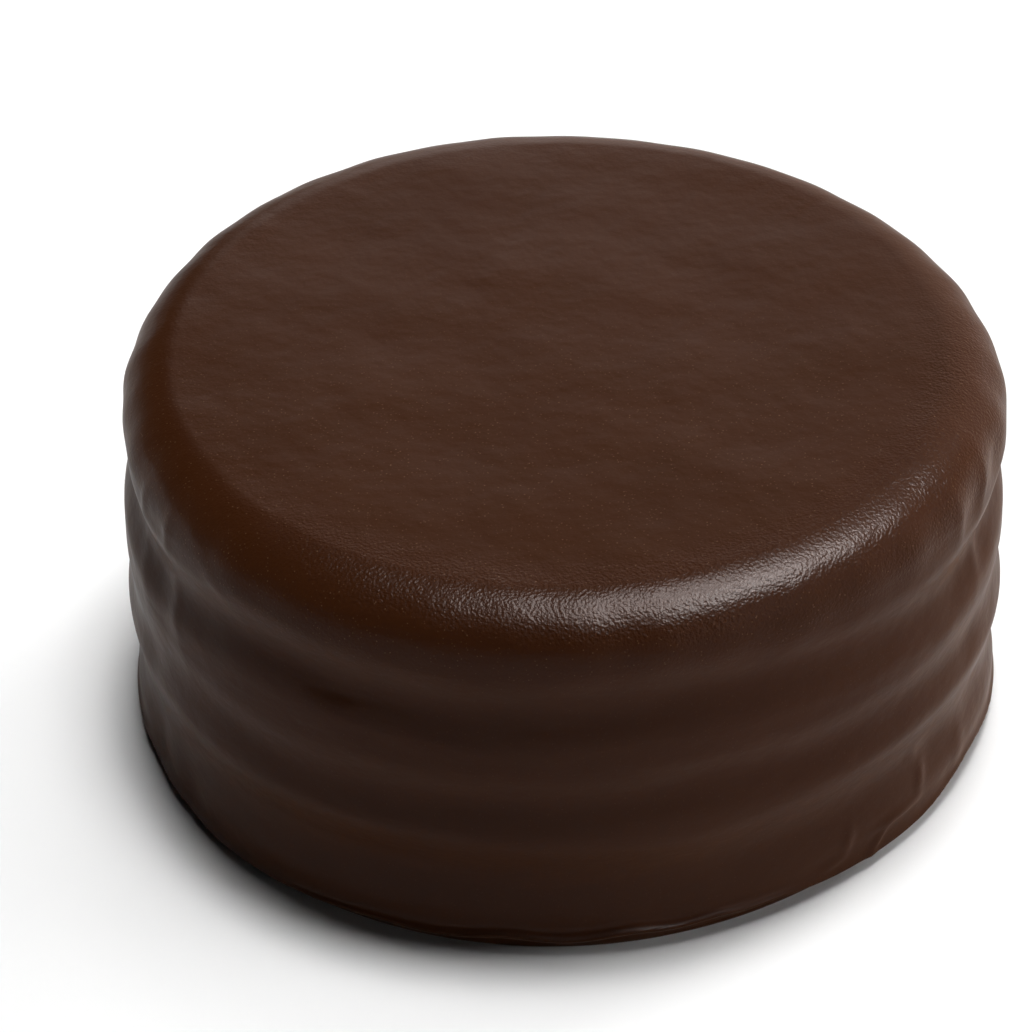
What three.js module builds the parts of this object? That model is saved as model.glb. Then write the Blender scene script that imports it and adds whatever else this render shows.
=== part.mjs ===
// A thick round sandwich cookie under one unbroken coat of dark chocolate.
// It is whole, so the coat and all that is under it are one closed solid.
//
// Lengths are in millimetres. +Z is up and the cookie stands on Z = 0.
// Azimuths are in degrees, from the front (-Y) towards the right (+X).
// The side is made of soft rolls, one above the other, with a thin lip over the foot.

import * as THREE from 'three';

// Driving dimensions
const RADIUS = 31.15;
const HEIGHT = 28.6;
const FOOT_RADIUS = 0.5;
const RIM_RADIUS = 4.4;
const CROWN = 0.25;

// Mesh density. SIDE_SPACING above 1 sets the rows of the wall closer together near the foot.
const SECTORS = 110;
const FOOT_STEPS = 3;
const SIDE_STEPS = 36;
const RIM_STEPS = 7;
const TOP_STEPS = 6;
const SIDE_SPACING = 1.6;

const COATING_COLOR = 0x3a2117;
const COATING_ROUGHNESS = 0.45;

// How far the wall swells past RADIUS at each height.
const SWELL = [
  { height: 0, amount: -0.2 },
  { height: 2, amount: -0.2 },
  { height: 10, amount: 0.2 },
  { height: 16.6, amount: 0.1 },
  { height: 24.3, amount: -0.06 },
  { height: HEIGHT, amount: -0.06 },
];

// The outline, seen from above, is not quite a circle.
const OUT_OF_ROUND = [
  { amount: 0.055, waves: 2, phase: 31 },
  { amount: 0.32, waves: 3, phase: 172 },
  { amount: 0.03, waves: 7, phase: 10 },
];

// Short ripples round the rim, which fade out between these two heights.
const RIM_RIPPLES = [
  { amount: 0.05, waves: 37, phase: 0 },
  { amount: 0.04, waves: 23, phase: 80 },
];
const RIPPLES_START = 21.5;
const RIPPLES_FULL = 25.5;

// Grooves between the rolls, from the top one down. `above` and `below` are how far a groove reaches into
// the rolls on its two sides. `wander` moves it up and down, and `deeper` adds to its depth: each is a list
// of bumps (azimuth, spread in degrees, amount).
const GROOVES = [
  {
    height: 20.7, depth: 0.5, above: 3.3, below: 3.3,
    wander: [bump(-66, 16, -0.9), bump(-45, 14, 0.5), bump(-10, 12, -0.35), bump(18, 12, 0.4),
      bump(60, 24, -1.5), bump(150, 30, 0.4)],
    deeper: [bump(-74, 20, 0.35), bump(-32, 16, 0.2), bump(76, 22, 0.4), bump(170, 60, 0.4)],
  },
  {
    height: 12.8, depth: 0.42, above: 3, below: 3,
    wander: [bump(-75, 12, -0.7), bump(-35, 15, -0.3), bump(20, 14, 0.6), bump(58, 25, -0.05),
      bump(160, 40, 0.4)],
    deeper: [bump(-65, 22, -0.18), bump(75, 25, 0.05), bump(180, 50, 0.3)],
  },
  {
    height: 6.2, depth: 0.58, above: 3.9, below: 3.9,
    wander: [bump(-17, 10, 0.3), bump(15, 8, -0.35), bump(50, 18, 0.5), bump(75, 15, 0.4),
      bump(-130, 40, 0.4)],
    deeper: [bump(-60, 15, -0.15), bump(-22, 22, 0.12), bump(45, 25, 0.12), bump(180, 50, 0.3)],
  },
];

// The coat ran down into a thin lip over the foot, which wanders in the same way as the grooves.
const LIP = {
  height: 1.15, size: 0.25, above: 0.3, below: 0.4,
  wander: [bump(-50, 16, -0.3), bump(-25, 5, 0.15), bump(-8, 5, 0.4), bump(8, 5, 0.4), bump(19, 5, 0.4),
    bump(28, 5, 0.25), bump(50, 14, -0.2), bump(68, 8, 0.6)],
  bigger: [bump(5, 36, 0.35), bump(150, 60, 0.2)],
};
const LIP_EDGE = 0.05;

// Under the lip the foot is cut back by this much, less at the front.
const UNDERCUT = { size: 1.1, more: [bump(-5, 36, -0.9), bump(68, 8, 0.3), bump(150, 60, -0.3)] };

// Dents (negative amount) and ridges (positive) in the coat of the side: azimuth, height, half width,
// half height, lean to the right for each 1 mm up, amount.
const DENTS = [
  // Pleats of the rim, and the hollows between them
  dent(-69, 24, 1.1, 1.7, 0.2, 0.11),
  dent(-60.8, 24.2, 1.1, 1.9, 0.1, 0.12),
  dent(-50, 24.2, 1.1, 2, -1.1, 0.08),
  dent(-64.8, 24.6, 1.5, 1.8, 0, -0.18),
  dent(61, 24.2, 1.1, 1.8, 0, 0.12),
  dent(69, 24.6, 1.1, 1.9, 0.4, 0.12),
  dent(65, 24.3, 1.7, 1.5, 0, -0.22),
  dent(75, 24.6, 2.2, 1.6, 0, -0.34),
  // Roll under the rim
  dent(-64.6, 18.2, 1.9, 2.6, -0.4, -0.16),
  dent(-59.6, 18.2, 1, 3.2, -0.4, 0.09),
  dent(-52, 18.9, 2.6, 1.6, -0.3, -0.1),
  dent(62.5, 18.6, 2.1, 1.8, 0.4, -0.12),
  dent(71.5, 18.3, 1.5, 2, 0.4, -0.1),
  // Lower rolls
  dent(65.5, 12, 1.8, 1.3, 0, -0.12),
  dent(-67.5, 10.8, 1.8, 1.8, 0, -0.12),
  dent(-69.5, 3.1, 2.4, 2.1, 0, -0.32),
  dent(-58.5, 2.9, 2, 2.1, 0, -0.3),
  dent(57, 5.8, 2.2, 2.2, 0, -0.16),
  dent(70.5, 6, 2.6, 2, 0, -0.16),
  dent(64, 3.6, 1, 1.8, 0.2, 0.12),
  dent(66, 0.4, 5, 1.6, 0, -0.25),
  // The two sides
  dent(-86, 22.6, 8, 2.2, 0, -0.25),
  dent(86, 23.4, 8, 2.6, 0, 0.18),
  dent(86, 3.4, 6, 1.4, 0, 0.12),
];

// Long low swells of the top, as waves that cross it in different directions.
const TOP_WAVES = [
  { amount: 0.04, length: 23, direction: 20, phase: 40 },
  { amount: 0.02, length: 13, direction: 100, phase: 200 },
  { amount: 0.012, length: 9, direction: 65, phase: 90 },
];

function bump(azimuth, spread, amount) {
  return { azimuth, spread, amount };
}

function dent(azimuth, height, width, tall, lean, amount) {
  return { azimuth, height, width, tall, lean, amount };
}

function radians(degrees) {
  return THREE.MathUtils.degToRad(degrees);
}

// The angle from a place, given in degrees, the short way round.
function turnFrom(azimuth, place) {
  const turn = azimuth - radians(place);
  return Math.atan2(Math.sin(turn), Math.cos(turn));
}

function sumOfBumps(azimuth, list) {
  let total = 0;
  for (const { azimuth: place, spread, amount } of list) {
    total += amount * Math.exp(-((turnFrom(azimuth, place) / radians(spread)) ** 2));
  }
  return total;
}

function sumOfWaves(azimuth, list) {
  let total = 0;
  for (const { amount, waves, phase } of list) {
    total += amount * Math.sin(azimuth * waves + radians(phase));
  }
  return total;
}

function swellAt(height) {
  let total = SWELL[0].amount;
  for (let i = 1; i < SWELL.length; i += 1) {
    const step = SWELL[i].amount - SWELL[i - 1].amount;
    total += step * THREE.MathUtils.smoothstep(height, SWELL[i - 1].height, SWELL[i].height);
  }
  return total;
}

// One groove, as a negative distance; 0 beyond its reach.
function grooveRelief(height, azimuth, groove) {
  const offset = height - groove.height - sumOfBumps(azimuth, groove.wander);
  const depth = groove.depth + sumOfBumps(azimuth, groove.deeper);
  const reach = offset > 0 ? groove.above : groove.below;
  const part = Math.min(Math.abs(offset) / reach, 1);
  return -depth * (1 + Math.cos(Math.PI * part)) / 2;
}

function lipHeight(azimuth) {
  return LIP.height + sumOfBumps(azimuth, LIP.wander);
}

function lipRelief(height, azimuth) {
  const offset = height - lipHeight(azimuth);
  const size = LIP.size + sumOfBumps(azimuth, LIP.bigger);
  const ledge = Math.exp(-Math.hypot(offset, LIP_EDGE) / LIP.above);
  const underside = Math.exp(-((offset / LIP.below) ** 2) - LIP_EDGE / LIP.above);
  return size * (offset > 0 ? ledge : underside);
}

function undercut(height, azimuth) {
  const size = UNDERCUT.size + sumOfBumps(azimuth, UNDERCUT.more);
  return size * Math.max(1 - height / lipHeight(azimuth), 0);
}

function dentRelief(height, azimuth, { azimuth: place, height: middle, width, tall, lean, amount }) {
  const up = height - middle;
  const across = turnFrom(azimuth, place) * RADIUS - lean * up;
  return amount * Math.exp(-((across / width) ** 2) - (up / tall) ** 2);
}

function sideRelief(height, azimuth) {
  let relief = swellAt(height) + sumOfWaves(azimuth, OUT_OF_ROUND) + lipRelief(height, azimuth);
  for (const groove of GROOVES) {
    relief += grooveRelief(height, azimuth, groove);
  }
  for (const place of DENTS) {
    relief += dentRelief(height, azimuth, place);
  }
  const ripples = THREE.MathUtils.smoothstep(height, RIPPLES_START, RIPPLES_FULL);
  return relief + ripples * sumOfWaves(azimuth, RIM_RIPPLES);
}

function topRelief(radius, azimuth) {
  const x = radius * Math.sin(azimuth);
  const y = -radius * Math.cos(azimuth);
  let relief = -CROWN * (radius / RADIUS) ** 2;
  for (const { amount, length, direction, phase } of TOP_WAVES) {
    const along = x * Math.cos(radians(direction)) + y * Math.sin(radians(direction));
    relief += amount * Math.sin(2 * Math.PI * along / length + radians(phase));
  }
  return relief;
}

// Stations along the plain section: foot arc, wall, rim arc and top, each with its outward normal.
function sectionStations() {
  const stations = [];
  const flatRadius = RADIUS - FOOT_RADIUS;
  for (let step = 0; step <= FOOT_STEPS; step += 1) {
    const angle = Math.PI / 2 * (step / FOOT_STEPS - 1);
    stations.push({
      radius: flatRadius + FOOT_RADIUS * Math.cos(angle),
      height: FOOT_RADIUS + FOOT_RADIUS * Math.sin(angle),
      outward: Math.cos(angle),
      upward: Math.sin(angle),
    });
  }
  const wallTop = HEIGHT - RIM_RADIUS;
  for (let step = 1; step < SIDE_STEPS; step += 1) {
    const part = (step / SIDE_STEPS) ** SIDE_SPACING;
    const height = THREE.MathUtils.lerp(FOOT_RADIUS, wallTop, part);
    stations.push({ radius: RADIUS, height, outward: 1, upward: 0 });
  }
  const topRadius = RADIUS - RIM_RADIUS;
  for (let step = 0; step <= RIM_STEPS; step += 1) {
    const angle = Math.PI / 2 * step / RIM_STEPS;
    stations.push({
      radius: topRadius + RIM_RADIUS * Math.cos(angle),
      height: wallTop + RIM_RADIUS * Math.sin(angle),
      outward: Math.cos(angle),
      upward: Math.sin(angle),
    });
  }
  for (let step = 1; step < TOP_STEPS; step += 1) {
    const radius = topRadius * (1 - step / TOP_STEPS);
    stations.push({ radius, height: HEIGHT, outward: 0, upward: 1 });
  }
  return stations;
}

// The first ring is the edge of the flat base, so it keeps to Z = 0.
function surfacePoint(station, azimuth) {
  const onBase = station.upward === -1;
  const side = sideRelief(station.height, azimuth) * station.outward ** 2;
  const top = topRelief(station.radius, azimuth) * Math.max(station.upward, 0) ** 2;
  const relief = onBase ? 0 : side + top;
  const height = onBase ? 0 : station.height + relief * station.upward;
  const radius = station.radius + relief * station.outward - undercut(station.height, azimuth);
  return new THREE.Vector3(radius * Math.sin(azimuth), -radius * Math.cos(azimuth), height);
}

function cookieGeometry() {
  const stations = sectionStations();
  const points = [new THREE.Vector3(0, 0, 0)];
  for (const station of stations) {
    for (let sector = 0; sector < SECTORS; sector += 1) {
      points.push(surfacePoint(station, 2 * Math.PI * sector / SECTORS));
    }
  }
  points.push(new THREE.Vector3(0, 0, HEIGHT + topRelief(0, 0)));

  const ringPoint = (ring, sector) => 1 + ring * SECTORS + sector % SECTORS;
  const lastRing = stations.length - 1;
  const topPoint = points.length - 1;
  const faces = [];
  for (let sector = 0; sector < SECTORS; sector += 1) {
    faces.push(0, ringPoint(0, sector + 1), ringPoint(0, sector));
    for (let ring = 0; ring < lastRing; ring += 1) {
      const near = ringPoint(ring, sector);
      const nextSector = ringPoint(ring, sector + 1);
      const above = ringPoint(ring + 1, sector);
      const aboveNext = ringPoint(ring + 1, sector + 1);
      faces.push(near, nextSector, aboveNext);
      faces.push(near, aboveNext, above);
    }
    faces.push(ringPoint(lastRing, sector), ringPoint(lastRing, sector + 1), topPoint);
  }

  const geometry = new THREE.BufferGeometry().setFromPoints(points);
  geometry.setIndex(faces);
  centreOverBase(geometry);
  geometry.computeVertexNormals();
  return geometry;
}

// The origin is under the middle of the cookie's outline.
function centreOverBase(geometry) {
  geometry.computeBoundingBox();
  const middle = geometry.boundingBox.getCenter(new THREE.Vector3());
  geometry.translate(-middle.x, -middle.y, 0);
}

const coating = new THREE.MeshStandardMaterial({
  color: COATING_COLOR,
  roughness: COATING_ROUGHNESS,
  metalness: 0,
});

const cookie = new THREE.Mesh(cookieGeometry(), coating);
cookie.name = 'cookie';

const alfajor = new THREE.Group();
alfajor.add(cookie);

export default alfajor;
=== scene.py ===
"""The looks of a thick round cookie under one unbroken coat of dark chocolate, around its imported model.

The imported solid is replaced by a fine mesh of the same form. Its surface is worked out in millimetres, and
turned into metres at the end. Azimuths go from the front (-Y) towards the right (+X): in degrees in the
lists below, and in radians as `azimuth` in the functions.
"""

import math

import bpy
import numpy as np
from mathutils import Matrix, Vector


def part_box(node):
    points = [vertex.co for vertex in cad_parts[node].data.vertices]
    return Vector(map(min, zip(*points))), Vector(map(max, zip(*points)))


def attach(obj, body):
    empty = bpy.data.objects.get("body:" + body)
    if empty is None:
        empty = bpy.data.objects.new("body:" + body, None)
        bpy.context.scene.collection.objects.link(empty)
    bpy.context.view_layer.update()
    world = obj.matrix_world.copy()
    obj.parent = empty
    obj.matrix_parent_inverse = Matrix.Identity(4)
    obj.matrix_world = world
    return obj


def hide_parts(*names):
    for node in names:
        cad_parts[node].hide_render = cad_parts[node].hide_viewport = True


MM = 0.001

# Form of the cookie, in mm
RADIUS = 31.15
HEIGHT = 28.6
FOOT_RADIUS = 0.5
RIM_RADIUS = 4.4
CROWN = 0.25
LIP_EDGE = 0.05

# Mesh density
SECTORS = 568
FOOT_STEPS = 6
SIDE_STEPS = 108
RIM_STEPS = 40
TOP_STEPS = 20
SIDE_SPACING = 1.7

# How far the wall swells past RADIUS at each height.
SWELL_HEIGHTS = [0, 2, 10, 16.6, 24.3, HEIGHT]
SWELL_AMOUNTS = [-0.2, -0.2, 0.2, 0.1, -0.06, -0.06]

# Waves round the cookie are (amount, waves in a turn, phase). Those of the rim grow between two heights.
OUT_OF_ROUND = [(0.055, 2, 31), (0.32, 3, 172), (0.03, 7, 10)]
RIM_RIPPLES = [(0.05, 37, 0), (0.04, 23, 80)]
RIPPLES_START = 21.5
RIPPLES_FULL = 25.5

# Grooves between the rolls, from the top one down. `above` and `below` are how far a groove reaches into
# the rolls on its two sides. `wander` moves it up and down, and `deeper` adds to its depth: both are
# lists of (azimuth, spread in degrees, amount).
GROOVES = [
    dict(height=20.7, depth=0.5, above=3.3, below=3.3,
         wander=[(-66, 16, -0.9), (-45, 14, 0.5), (-10, 12, -0.35), (18, 12, 0.4), (60, 24, -1.5),
                 (150, 30, 0.4)],
         deeper=[(-74, 20, 0.35), (-32, 16, 0.2), (76, 22, 0.4), (170, 60, 0.4)]),
    dict(height=12.8, depth=0.42, above=3, below=3,
         wander=[(-75, 12, -0.7), (-35, 15, -0.3), (20, 14, 0.6), (58, 25, -0.05), (160, 40, 0.4)],
         deeper=[(-65, 22, -0.18), (75, 25, 0.05), (180, 50, 0.3)]),
    dict(height=6.2, depth=0.58, above=3.9, below=3.9,
         wander=[(-17, 10, 0.3), (15, 8, -0.35), (50, 18, 0.5), (75, 15, 0.4), (-130, 40, 0.4)],
         deeper=[(-60, 15, -0.15), (-22, 22, 0.12), (45, 25, 0.12), (180, 50, 0.3)]),
]

# The coat ran down into a thin lip over the foot, which wanders in the same way as the grooves. Under it
# the foot is cut back by UNDERCUT, less at the front.
LIP = dict(height=1.15, above=0.3, below=0.4, size=0.25,
           wander=[(-50, 16, -0.3), (-25, 5, 0.15), (-8, 5, 0.4), (8, 5, 0.4), (19, 5, 0.4), (28, 5, 0.25),
                   (50, 14, -0.2), (68, 8, 0.6)],
           bigger=[(5, 36, 0.35), (150, 60, 0.2)])
UNDERCUT = dict(size=1.1, more=[(-5, 36, -0.9), (68, 8, 0.3), (150, 60, -0.3)])

# Dents (negative amount) and ridges (positive) in the coat of the side: azimuth, height, half width,
# half height, lean to the right for each 1 mm up, amount.
DENTS = [
    # Pleats of the rim, and the hollows between them
    (-69, 24, 0.6, 1.7, 0.2, 0.11),
    (-60.8, 24.2, 0.6, 1.9, 0.1, 0.12),
    (-50, 24.2, 1.1, 2, -1.1, 0.08),
    (-64.8, 24.6, 1.5, 1.8, 0, -0.18),
    (-56, 24.6, 2, 1.6, 0, -0.08),
    (61, 24.2, 0.65, 1.8, 0, 0.12),
    (69, 24.6, 0.6, 1.9, 0.4, 0.12),
    (65, 24.3, 1.7, 1.5, 0, -0.22),
    (75, 24.6, 2.2, 1.6, 0, -0.34),
    # Roll under the rim
    (-64.6, 18.2, 1.9, 2.6, -0.4, -0.16),
    (-71, 18, 0.9, 2.6, -0.5, 0.07),
    (-59.6, 18.2, 0.8, 3.2, -0.4, 0.09),
    (-52, 18.9, 2.6, 1.6, -0.3, -0.1),
    (-29, 19.6, 1.7, 0.8, 0.5, -0.08),
    (62.5, 18.6, 2.1, 1.8, 0.4, -0.12),
    (68.8, 18.8, 0.7, 2.4, 0.4, 0.1),
    (71.5, 18.3, 1.5, 2, 0.4, -0.1),
    (58, 15.6, 1.2, 0.8, 0, 0.06),
    # Rolls below it
    (65.5, 12, 1.8, 1.3, 0, -0.12),
    (-67.5, 10.8, 1.8, 1.8, 0, -0.12),
    (-69.5, 3.1, 2.4, 2.1, 0, -0.32),
    (-58.5, 2.9, 2, 2.1, 0, -0.3),
    # Broad ones, which shape the outline at the left and at the right
    (-86, 22.6, 8, 2.2, 0, -0.25),
    (86, 23.4, 8, 2.6, 0, 0.18),
    (86, 3.4, 6, 1.4, 0, 0.12),
    # Hollows and creases near the foot
    (66, 0.4, 5, 1.6, 0, -0.25),
    (57, 5.8, 2.2, 2.2, 0, -0.16),
    (70.5, 6, 2.6, 2, 0, -0.16),
    (64, 3.6, 1, 1.8, 0.2, 0.12),
    (44.7, 1.7, 0.45, 0.9, 1.2, 0.2),
    (49, 2.8, 2.1, 0.4, 0.3, 0.24),
    (54, 4.3, 0.5, 1.2, 0.3, 0.16),
    (53, 6.4, 0.6, 1.2, -0.3, 0.06),
    (36.5, 1.9, 1, 0.4, 0.8, 0.18),
    (39.5, 3.2, 0.4, 1.1, 0.3, 0.18),
]

# Long low swells of the top: amount, length, direction, phase.
TOP_WAVES = [(0.04, 23, 20, 40), (0.02, 13, 100, 200), (0.012, 9, 65, 90)]

# Camera: where it aims, how far away it is, how high it looks from, and how it is rolled
CAMERA_AIM = Vector((-3.4, 0, 14.2)) * MM
CAMERA_DISTANCE = 387.5 * MM
CAMERA_ELEVATION = math.radians(36.5)
CAMERA_ROLL = math.radians(-0.9)
CAMERA_LENS = 189.1
SENSOR_WIDTH = 36
CLIP_START = 10 * MM

# Coat: what is the same all over, then the linear colours of the two shades of brown and of the painted
# glints (pale flecks that stand in for glints of light), and where in the clouds the change of shade starts
# and ends
COAT = {
    "Specular IOR Level": 0.008,
    "Sheen Weight": 0.11,
    "Sheen Roughness": 0.5,
    "Sheen Tint": (0.55, 0.4, 0.3, 1),
    "Coat Weight": 0.12,
    "Coat IOR": 1.5,
    "Coat Roughness": 0.3,
}
DARK_SHADE = (0.0285, 0.0071, 0.0009, 1)
LIGHT_SHADE = (0.0315, 0.0081, 0.0012, 1)
# Colour of the pale flecks, which are painted glints
PAINTED_GLINT_COLOR = (0.105, 0.055, 0.03, 1)
SHADE_STOPS = (0.3, 0.7)

# Roughness at the smoothest, and how much the streaks add to it
SMOOTHEST = 0.28
DULLER = 0.14

# Patterns of the coat: cells in a metre, and how high they stand, in mm. Streaks lie along the rolls, so they
# are closer together up the side. A painted glint (a pale fleck) begins and is full at the two distances of
# its edge, in cells from its middle.
CRINKLE_SCALE, CRINKLE_HEIGHT = 4600, 0.052
STREAK_SCALE, STREAK_HEIGHT = 230, 0.11
CLOUD_SCALE, CLOUD_HEIGHT = 120, 0.15
STREAK_STRETCH = (1, 1, 2.2)
GLINT_SCALE = 3300
GLINT_EDGE = (0.24, 0.04)

# Where the patterns change, from nothing to full: by height, by distance from the axis, by Y (this one places
# only the painted glints, most at the front), and by distance towards the front right
HIGH_UP = (22 * MM, 26 * MM)
FAR_OUT = (23 * MM, 28.5 * MM)
GLINTS_TOWARDS_FRONT = (14 * MM, -16 * MM)
TO_FRONT_RIGHT = (2 * MM, 20 * MM)
FRONT_RIGHT = (0.45, -0.9, 0)

# How strong the patterns stay outside those places: the crinkle on the rest of the rim and off the rim, and
# the painted glints (pale flecks) at the back and low down
CRINKLE_ON_REST_OF_RIM = 0.15
CRINKLE_OFF_RIM = 0.1
GLINTS_AT_BACK = 0.2
GLINTS_LOW_DOWN = 0.25

# Light panels: turned from +X towards +Y and raised above the floor, in degrees, then width and depth in
# metres, power in watts, and colour. The first kind adds to the matt part of the light alone, the second
# kind to the glossy part alone.
PANEL_DISTANCE = 2.45
WHITE = (1, 1, 1)
WARM_WHITE = (1, 0.92, 0.9)
MATT_PANELS = {
    "overhead": (67, 82.2, 1.1, 0.6, 28, WHITE),
    "overhead_small": (67, 83.5, 0.4, 0.4, 22, WHITE),
    "overhead_right": (10, 80, 0.5, 0.5, 5.4, WHITE),
    "overhead_back": (60, 65, 0.9, 0.8, 10, WHITE),
    "right": (0, 8, 0.9, 0.4, 34, WHITE),
    "right_back": (45, 8, 0.9, 0.4, 71, WHITE),
    "right_front": (-45, 8, 0.9, 0.4, 3, WHITE),
}
GLOSSY_PANELS = {
    "softbox_back": (45, 75, 0.7, 0.7, 84, WARM_WHITE),
    "softbox_front": (-45, 75, 0.7, 0.7, 84, WARM_WHITE),
    "softbox_right": (0, 55, 0.7, 0.7, 146, WARM_WHITE),
    "softbox_low": (-30, 55, 0.7, 0.7, 104, WHITE),
    "back_sheen": (68.6, 21, 3, 1.6, 20, WARM_WHITE),
    "back_low": (90, 15, 0.7, 0.7, 4.5, WARM_WHITE),
    "right_sheen": (0, 9.3, 1.7, 0.6, 5, WHITE),
    "front_sheen": (-40, 12, 0.9, 0.6, 7, WHITE),
}
SKY = 0.004

FLOOR_SIZE = 4
FLOOR_GREY = 0.9
FLOOR_ROUGHNESS = 0.9


# ---------------------------------------------------------------- form

def sum_of_waves(azimuth, waves):
    return sum(amount * np.sin(azimuth * count + math.radians(phase)) for amount, count, phase in waves)


def smoothstep(value, low, high):
    part = np.clip((value - low) / (high - low), 0, 1)
    return part * part * (3 - 2 * part)


def swell_at(height):
    total = np.full_like(height, SWELL_AMOUNTS[0])
    for i in range(1, len(SWELL_HEIGHTS)):
        step = SWELL_AMOUNTS[i] - SWELL_AMOUNTS[i - 1]
        total += step * smoothstep(height, SWELL_HEIGHTS[i - 1], SWELL_HEIGHTS[i])
    return total


def turn_from(azimuth, place):
    """The angle in radians from a place, which is given in degrees, the short way round."""
    turn = azimuth - math.radians(place)
    return np.arctan2(np.sin(turn), np.cos(turn))


def local_bumps(azimuth, bumps):
    total = np.zeros_like(azimuth)
    for place, spread, amount in bumps:
        total = total + amount * np.exp(-((turn_from(azimuth, place) / math.radians(spread)) ** 2))
    return total


def groove_relief(height, azimuth, groove):
    middle = groove["height"] + local_bumps(azimuth, groove["wander"])
    depth = groove["depth"] + local_bumps(azimuth, groove["deeper"])
    offset = height - middle
    reach = np.where(offset > 0, groove["above"], groove["below"])
    part = np.minimum(np.abs(offset) / reach, 1)
    return -depth * (1 + np.cos(np.pi * part)) / 2


def lip_relief(height, azimuth):
    middle = LIP["height"] + local_bumps(azimuth, LIP["wander"])
    size = LIP["size"] + local_bumps(azimuth, LIP["bigger"])
    offset = height - middle
    over = np.exp(-np.hypot(offset, LIP_EDGE) / LIP["above"])
    under = np.exp(-((offset / LIP["below"]) ** 2) - LIP_EDGE / LIP["above"])
    return size * np.where(offset > 0, over, under)


def undercut(height, azimuth):
    """How far the foot is cut back under the lip."""
    size = UNDERCUT["size"] + local_bumps(azimuth, UNDERCUT["more"])
    top = LIP["height"] + local_bumps(azimuth, LIP["wander"])
    return size * np.maximum(1 - height / top, 0)


def dent_relief(height, azimuth, dent):
    place, middle, width, tall, lean, amount = dent
    up = height - middle
    across = turn_from(azimuth, place) * RADIUS - lean * up
    return amount * np.exp(-((across / width) ** 2) - (up / tall) ** 2)


def side_relief(height, azimuth):
    relief = swell_at(height) + sum_of_waves(azimuth, OUT_OF_ROUND) + lip_relief(height, azimuth)
    for groove in GROOVES:
        relief = relief + groove_relief(height, azimuth, groove)
    for dent in DENTS:
        relief = relief + dent_relief(height, azimuth, dent)
    return relief


def top_relief(radius, azimuth):
    x = radius * np.sin(azimuth)
    y = -radius * np.cos(azimuth)
    relief = -CROWN * (radius / RADIUS) ** 2
    for amount, length, direction, phase in TOP_WAVES:
        along = x * math.cos(math.radians(direction)) + y * math.sin(math.radians(direction))
        relief = relief + amount * np.sin(2 * np.pi * along / length + math.radians(phase))
    return relief


def section_stations():
    """Rows of radius, height, and the normal's outward and upward parts, from the foot to the top.

    They follow the plain section, which has no relief.
    """
    rows = []
    flat_radius = RADIUS - FOOT_RADIUS
    wall_top = HEIGHT - RIM_RADIUS
    top_radius = RADIUS - RIM_RADIUS
    for angle in np.linspace(-np.pi / 2, 0, FOOT_STEPS + 1):
        rows.append((flat_radius + FOOT_RADIUS * np.cos(angle), FOOT_RADIUS + FOOT_RADIUS * np.sin(angle),
                     np.cos(angle), np.sin(angle)))
    for part in np.linspace(0, 1, SIDE_STEPS + 1)[1:-1]:
        rows.append((RADIUS, FOOT_RADIUS + (wall_top - FOOT_RADIUS) * part ** SIDE_SPACING, 1, 0))
    for angle in np.linspace(0, np.pi / 2, RIM_STEPS + 1):
        rows.append((top_radius + RIM_RADIUS * np.cos(angle), wall_top + RIM_RADIUS * np.sin(angle),
                     np.cos(angle), np.sin(angle)))
    for part in np.linspace(0, 1, TOP_STEPS + 1)[1:-1]:
        rows.append((top_radius * (1 - part), HEIGHT, 0, 1))
    return np.array(rows)


def surface_points(stations):
    """An array (stations, sectors, 3) of points, in mm."""
    azimuth = np.linspace(0, 2 * np.pi, SECTORS, endpoint=False)[None, :]
    radius, height, outward, upward = (stations[:, k][:, None] for k in range(4))
    ripples = sum_of_waves(azimuth, RIM_RIPPLES) * smoothstep(height, RIPPLES_START, RIPPLES_FULL)
    side = (side_relief(height, azimuth) + ripples) * outward ** 2
    top = top_relief(radius, azimuth) * np.maximum(upward, 0) ** 2
    relief = side + top
    relief[0] = 0
    r = radius + relief * outward - undercut(height, azimuth)
    z = height + relief * upward
    return np.stack([r * np.sin(azimuth), -r * np.cos(azimuth), z * np.ones_like(azimuth)], -1)


def grid_faces(rings):
    """Quads between the rings, and a fan of triangles over each end.

    Point 0 is the middle of the base, and the last point is the middle of the top.
    """
    faces = []
    last = 1 + rings * SECTORS
    for sector in range(SECTORS):
        after = (sector + 1) % SECTORS
        faces.append((0, 1 + after, 1 + sector))
        for ring in range(rings - 1):
            low = 1 + ring * SECTORS
            high = low + SECTORS
            faces.append((low + sector, low + after, high + after, high + sector))
        top_ring = 1 + (rings - 1) * SECTORS
        faces.append((top_ring + sector, top_ring + after, last))
    return faces


def make_cookie():
    stations = section_stations()
    grid = surface_points(stations)
    top = [0, 0, HEIGHT + float(top_relief(np.zeros(1), np.zeros(1))[0])]
    points = np.vstack([[0, 0, 0], grid.reshape(-1, 3), top]) * MM
    low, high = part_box("cookie")
    middle = (points.min(0) + points.max(0)) / 2
    points[:, 0] += (low.x + high.x) / 2 - middle[0]
    points[:, 1] += (low.y + high.y) / 2 - middle[1]
    mesh = bpy.data.meshes.new("cookie_coat")
    mesh.from_pydata(points.tolist(), [], grid_faces(len(stations)))
    mesh.shade_smooth()
    piece = bpy.data.objects.new("cookie_coat", mesh)
    bpy.context.scene.collection.objects.link(piece)
    return piece


# ---------------------------------------------------------------- material

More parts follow.
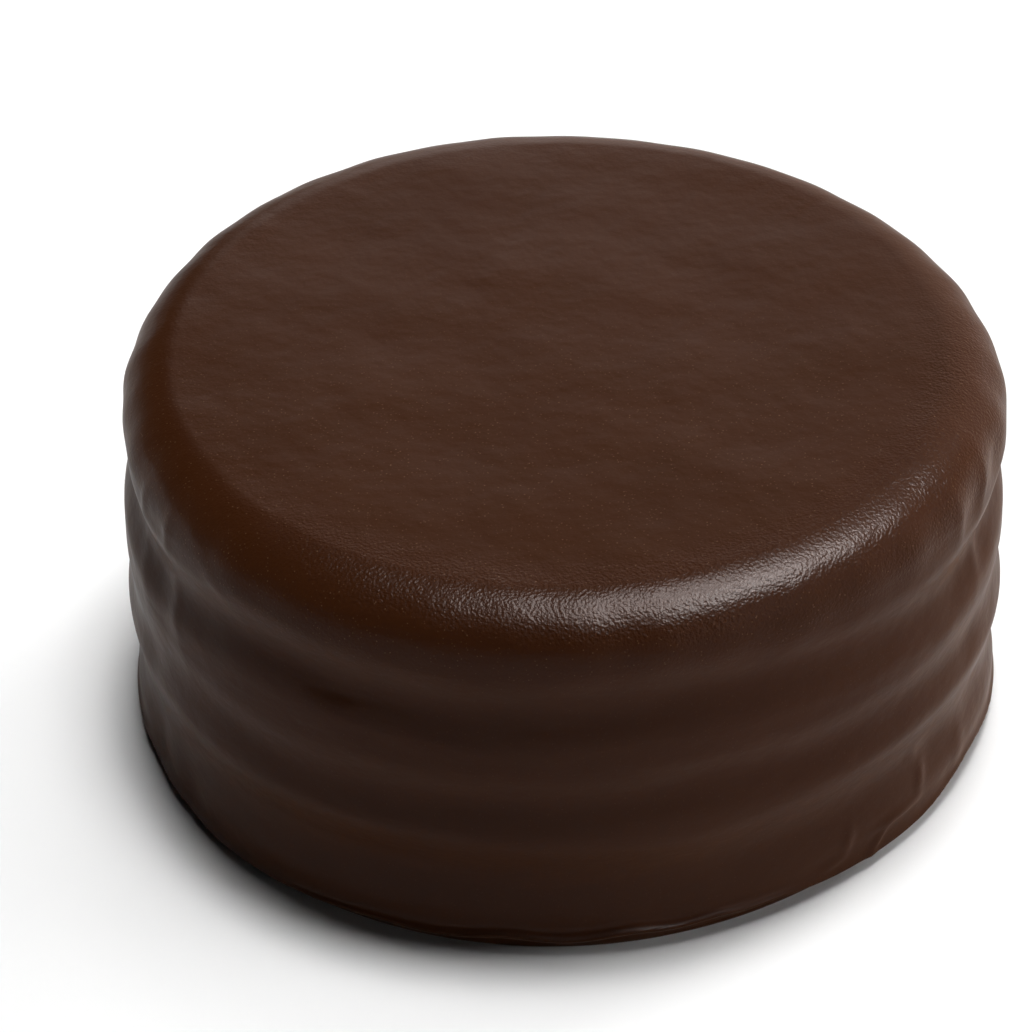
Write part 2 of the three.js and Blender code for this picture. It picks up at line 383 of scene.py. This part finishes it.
def chocolate():
    """Dark coat: brown, with painted glints (tiny pale flecks), soft streaks, and a fine crinkle, strongest
    on the rim.
    """
    material = bpy.data.materials.new("dark_chocolate")
    material.use_nodes = True
    nodes = material.node_tree.nodes
    shader = nodes["Principled BSDF"]
    for socket, value in COAT.items():
        shader.inputs[socket].default_value = value

    place = nodes.new("ShaderNodeTexCoord").outputs["Object"]
    radius, depth, height = radius_depth_height(material, place)
    up_high = between(material, height, *HIGH_UP)
    on_rim = calculate(material, "MULTIPLY", up_high, between(material, radius, *FAR_OUT))
    # Towards the front: where the painted glints are strongest
    glints_in_front = between(material, depth, *GLINTS_TOWARDS_FRONT)
    front_right = between(material, distance_towards(material, place, FRONT_RIGHT), *TO_FRONT_RIGHT)

    cloud = noise(material, place, CLOUD_SCALE, detail=3)
    streak = noise(material, stretched(material, place, STREAK_STRETCH), STREAK_SCALE, detail=3)
    crinkle = noise(material, place, CRINKLE_SCALE, detail=1)
    round_rim = calculate(material, "ADD", front_right, CRINKLE_ON_REST_OF_RIM)
    rough = calculate(material, "MULTIPLY", on_rim, round_rim)
    crinkled = calculate(material, "ADD", rough, CRINKLE_OFF_RIM)
    clouds = bump(material, cloud, CLOUD_HEIGHT)
    streaks = bump(material, streak, STREAK_HEIGHT, normal=clouds)
    crinkles = bump(material, crinkle, CRINKLE_HEIGHT, crinkled, streaks)
    link(material, crinkles, shader.inputs["Normal"])
    link(material, crinkles, shader.inputs["Coat Normal"])

    gloss = calculate(material, "MULTIPLY_ADD", streak, DULLER, SMOOTHEST)
    link(material, gloss, shader.inputs["Roughness"])

    # Pale flecks painted into the colour as glints of light, strongest at the front and high up: painted
    # glints
    glints_by_depth = calculate(material, "ADD", glints_in_front, GLINTS_AT_BACK)
    glints_by_height = calculate(material, "ADD", up_high, GLINTS_LOW_DOWN)
    painted_glints = calculate(material, "MULTIPLY", glint_dots(material, place), glints_by_depth)
    painted_glints = calculate(material, "MULTIPLY", painted_glints, glints_by_height)
    mix = nodes.new("ShaderNodeMix")
    mix.data_type = "RGBA"
    link(material, painted_glints, mix.inputs["Factor"])
    link(material, shades(material, cloud), mix.inputs["A"])
    mix.inputs["B"].default_value = PAINTED_GLINT_COLOR
    link(material, mix.outputs["Result"], shader.inputs["Base Color"])
    return material


def link(material, source, target):
    material.node_tree.links.new(source, target)


def radius_depth_height(material, place):
    """Distance from the cookie's axis, Y and Z, in metres."""
    parts = material.node_tree.nodes.new("ShaderNodeSeparateXYZ")
    link(material, place, parts.inputs["Vector"])
    flat = material.node_tree.nodes.new("ShaderNodeCombineXYZ")
    link(material, parts.outputs["X"], flat.inputs["X"])
    link(material, parts.outputs["Y"], flat.inputs["Y"])
    length = material.node_tree.nodes.new("ShaderNodeVectorMath")
    length.operation = "LENGTH"
    link(material, flat.outputs["Vector"], length.inputs[0])
    return length.outputs["Value"], parts.outputs["Y"], parts.outputs["Z"]


def distance_towards(material, place, way):
    node = material.node_tree.nodes.new("ShaderNodeVectorMath")
    node.operation = "DOT_PRODUCT"
    node.inputs[1].default_value = way
    link(material, place, node.inputs[0])
    return node.outputs["Value"]


def stretched(material, place, scale):
    node = material.node_tree.nodes.new("ShaderNodeMapping")
    node.inputs["Scale"].default_value = scale
    link(material, place, node.inputs["Vector"])
    return node.outputs["Vector"]


def between(material, value, start, end):
    """0 up to `start` and 1 from `end` on, with a smooth change between them."""
    node = material.node_tree.nodes.new("ShaderNodeMapRange")
    node.interpolation_type = "SMOOTHSTEP"
    node.inputs["From Min"].default_value = start
    node.inputs["From Max"].default_value = end
    link(material, value, node.inputs["Value"])
    return node.outputs["Result"]


def calculate(material, operation, *terms):
    """One Math node on sockets and numbers, with its result kept between 0 and 1."""
    node = material.node_tree.nodes.new("ShaderNodeMath")
    node.operation = operation
    node.use_clamp = True
    for slot, term in zip(node.inputs, terms):
        if isinstance(term, (int, float)):
            slot.default_value = term
        else:
            link(material, term, slot)
    return node.outputs["Value"]


def bump(material, pattern, height, strength=None, normal=None):
    """The normal of a pattern that stands up to `height` mm high, laid over another normal."""
    node = material.node_tree.nodes.new("ShaderNodeBump")
    node.inputs["Distance"].default_value = height * MM
    link(material, pattern, node.inputs["Height"])
    if strength:
        link(material, strength, node.inputs["Strength"])
    if normal:
        link(material, normal, node.inputs["Normal"])
    return node.outputs["Normal"]


def noise(material, place, scale, detail):
    node = material.node_tree.nodes.new("ShaderNodeTexNoise")
    node.inputs["Scale"].default_value = scale
    node.inputs["Detail"].default_value = detail
    link(material, place, node.inputs["Vector"])
    return node.outputs["Fac"]


def glint_dots(material, place):
    """A small round dot in each cell, as strong as the cell's own chance number: the painted glints."""
    cells = material.node_tree.nodes.new("ShaderNodeTexVoronoi")
    cells.inputs["Scale"].default_value = GLINT_SCALE
    link(material, place, cells.inputs["Vector"])
    chance = material.node_tree.nodes.new("ShaderNodeSeparateColor")
    link(material, cells.outputs["Color"], chance.inputs["Color"])
    dot = between(material, cells.outputs["Distance"], *GLINT_EDGE)
    return calculate(material, "MULTIPLY", dot, chance.outputs["Red"])


def shades(material, pattern):
    """The two browns, which change over the middle part of a pattern."""
    node = material.node_tree.nodes.new("ShaderNodeValToRGB")
    for element, stop, color in zip(node.color_ramp.elements, SHADE_STOPS, (DARK_SHADE, LIGHT_SHADE)):
        element.position = stop
        element.color = color
    link(material, pattern, node.inputs["Fac"])
    return node.outputs["Color"]


# ---------------------------------------------------------------- studio

def make_floor():
    bpy.ops.mesh.primitive_plane_add(size=FLOOR_SIZE)
    floor = bpy.context.object
    floor.name = "floor"
    material = bpy.data.materials.new("floor_white")
    material.use_nodes = True
    shader = material.node_tree.nodes["Principled BSDF"]
    shader.inputs["Base Color"].default_value = (FLOOR_GREY, FLOOR_GREY, FLOOR_GREY, 1)
    shader.inputs["Roughness"].default_value = FLOOR_ROUGHNESS
    shader.inputs["Specular IOR Level"].default_value = 0
    floor.data.materials.append(material)


def area_light(name, turn, rise, width, depth, power, color):
    """A panel that faces the cookie."""
    data = bpy.data.lights.new(name, "AREA")
    data.shape = "RECTANGLE"
    data.size = width
    data.size_y = depth
    data.energy = power
    data.color = color
    light = bpy.data.objects.new(name, data)
    around, up = math.radians(turn), math.radians(rise)
    way = Vector((math.cos(around) * math.cos(up), math.sin(around) * math.cos(up), math.sin(up)))
    light.location = way * PANEL_DISTANCE
    light.rotation_euler = way.to_track_quat("Z", "Y").to_euler()
    bpy.context.scene.collection.objects.link(light)
    return light


def make_lights():
    for name, panel in MATT_PANELS.items():
        area_light(name, *panel).visible_glossy = False
    for name, panel in GLOSSY_PANELS.items():
        area_light(name, *panel).visible_diffuse = False
    world = bpy.data.worlds.new("studio")
    world.use_nodes = True
    background = world.node_tree.nodes["Background"]
    background.inputs["Color"].default_value = (1, 1, 1, 1)
    background.inputs["Strength"].default_value = SKY
    bpy.context.scene.world = world


def make_camera():
    data = bpy.data.cameras.new("camera")
    data.lens = CAMERA_LENS
    data.sensor_width = SENSOR_WIDTH
    data.clip_start = CLIP_START
    camera = bpy.data.objects.new("camera", data)
    forward = Vector((0, math.cos(CAMERA_ELEVATION), -math.sin(CAMERA_ELEVATION)))
    right = Vector((1, 0, 0))
    up = right.cross(forward)
    turned_right = right * math.cos(CAMERA_ROLL) + up * math.sin(CAMERA_ROLL)
    turned_up = turned_right.cross(forward)
    axes = Matrix((turned_right, turned_up, -forward)).transposed()
    camera.matrix_world = Matrix.Translation(CAMERA_AIM - forward * CAMERA_DISTANCE) @ axes.to_4x4()
    bpy.context.scene.collection.objects.link(camera)
    bpy.context.scene.camera = camera


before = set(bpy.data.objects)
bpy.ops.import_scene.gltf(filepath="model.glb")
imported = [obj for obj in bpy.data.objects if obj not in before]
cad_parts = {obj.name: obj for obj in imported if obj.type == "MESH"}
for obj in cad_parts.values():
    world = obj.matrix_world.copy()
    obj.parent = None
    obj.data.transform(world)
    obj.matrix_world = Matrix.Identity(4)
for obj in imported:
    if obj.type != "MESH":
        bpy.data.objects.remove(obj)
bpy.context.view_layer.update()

make_camera()
make_floor()
make_lights()
bpy.context.scene.view_settings.view_transform = "Standard"

cookie = make_cookie()
cookie.data.materials.append(chocolate())
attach(cookie, "root")
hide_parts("cookie")
